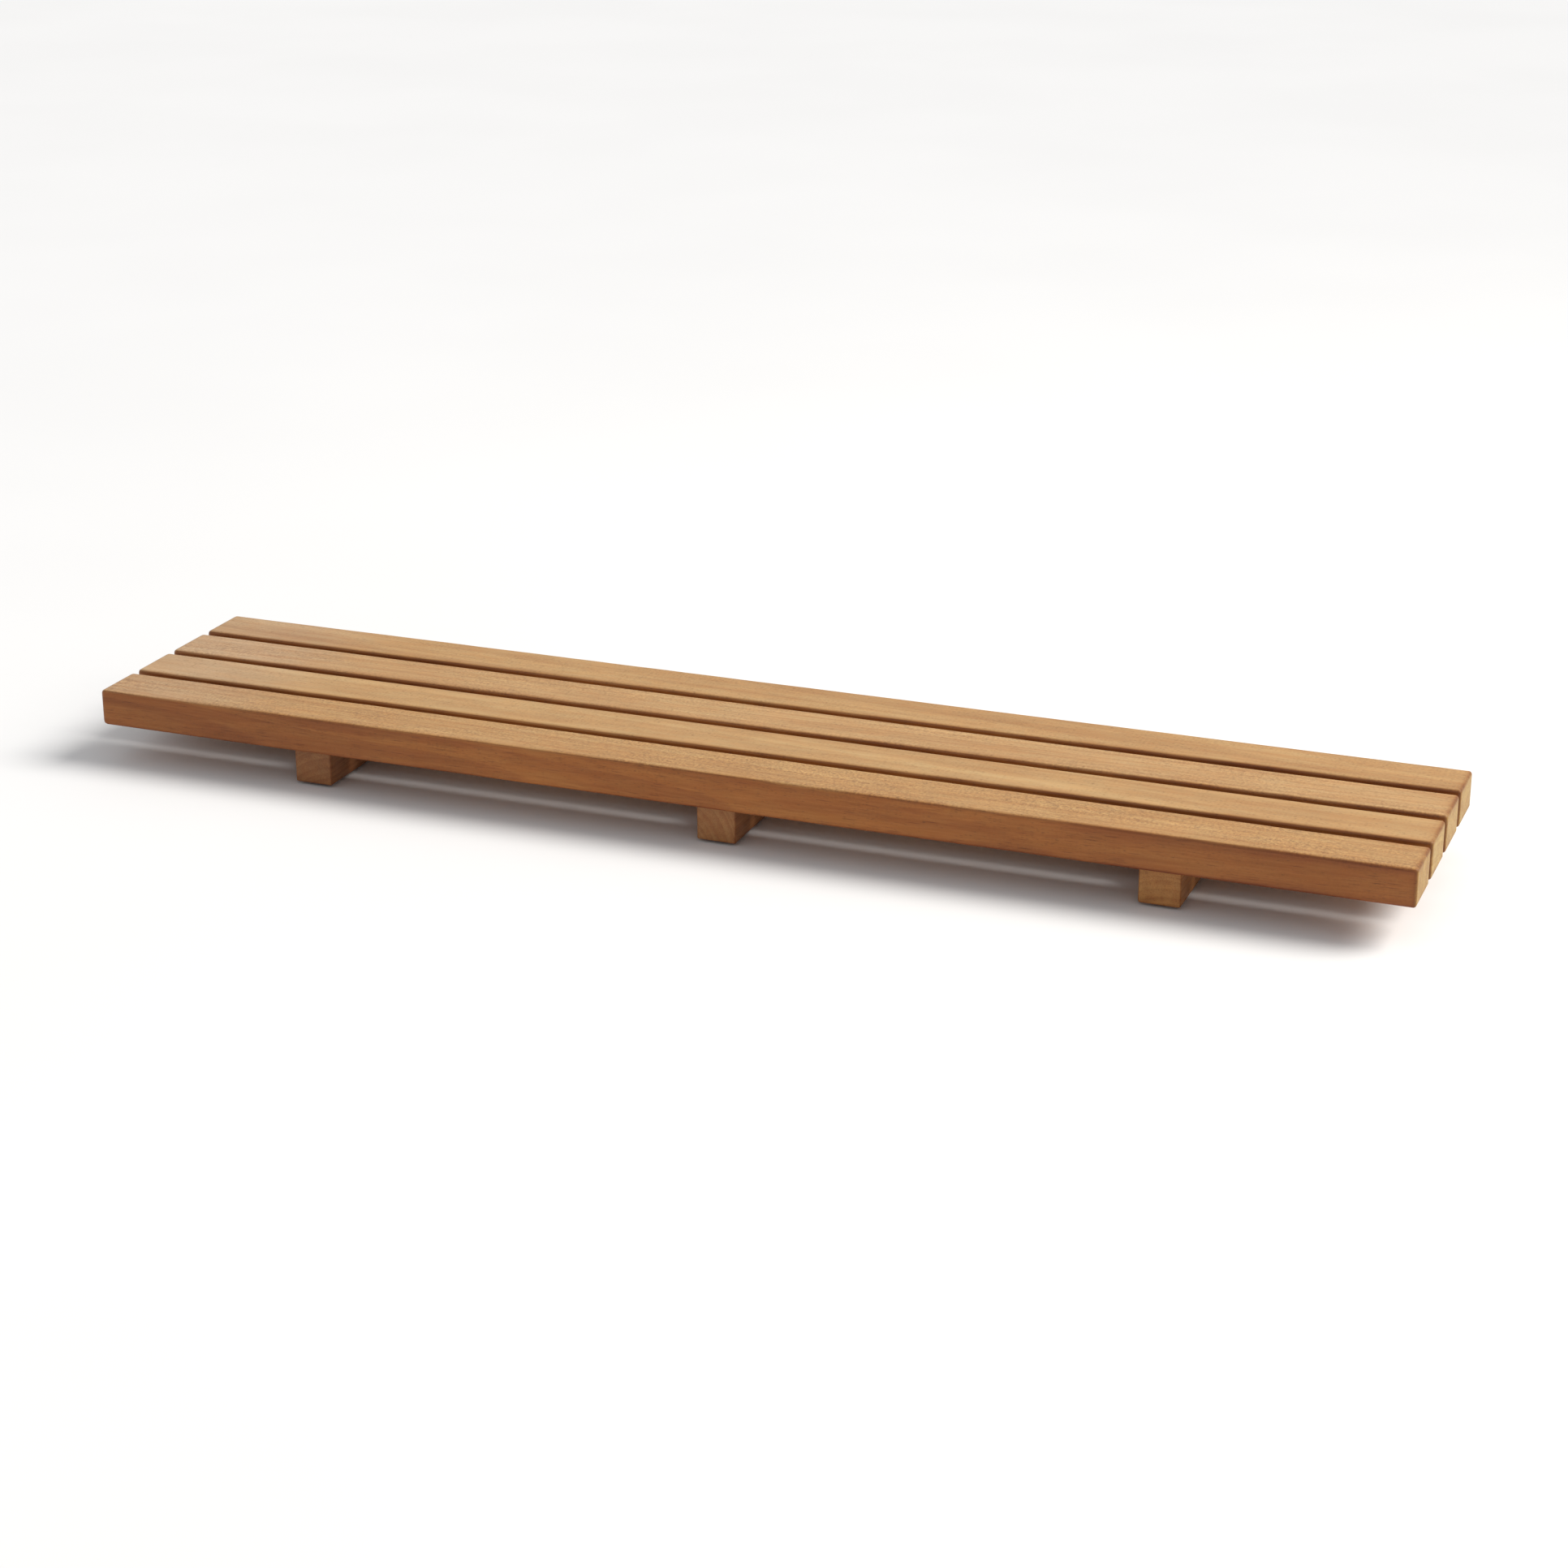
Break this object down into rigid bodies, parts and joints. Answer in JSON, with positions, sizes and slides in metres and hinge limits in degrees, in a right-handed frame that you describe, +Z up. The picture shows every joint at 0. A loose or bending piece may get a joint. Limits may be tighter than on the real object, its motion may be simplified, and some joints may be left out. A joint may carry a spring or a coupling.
{
  "type": "slatted wooden bath mat",
  "caption": "Rigid slatted hardwood bath mat: long parallel slats with drainage slots, screwed from below to cross battens on rubber feet.",
  "frame": {"origin": "centre of the footprint, on the floor that the rubber feet stand on", "axes": "+X along the slats to the right end, +Y across the slats to the back, +Z up"},
  "size_m": [1, 0.2, 0.058],
  "materials": {
    "teak_slat": "oiled satin, fine open grain along the slat",
    "teak_batten": "oiled satin, fine open grain along the batten",
    "stainless_screw": "bright cold-formed stainless steel",
    "rubber_foot": "matt moulded rubber"
  },
  "bodies": {
    "root": {"slat_front": "teak_slat", "slat_front_middle": "teak_slat", "slat_back_middle": "teak_slat", "slat_back": "teak_slat", "batten_left": "teak_batten", "batten_middle": "teak_batten", "batten_right": "teak_batten", "screw_left_front": "stainless_screw", "screw_left_front_middle": "stainless_screw", "screw_left_back_middle": "stainless_screw", "screw_left_back": "stainless_screw", "screw_middle_front": "stainless_screw", "screw_middle_front_middle": "stainless_screw", "screw_middle_back_middle": "stainless_screw", "screw_middle_back": "stainless_screw", "screw_right_front": "stainless_screw", "screw_right_front_middle": "stainless_screw", "screw_right_back_middle": "stainless_screw", "screw_right_back": "stainless_screw", "foot_left_front": "rubber_foot", "foot_left_back": "rubber_foot", "foot_middle_front": "rubber_foot", "foot_middle_back": "rubber_foot", "foot_right_front": "rubber_foot", "foot_right_back": "rubber_foot"}
  },
  "joints": []
}
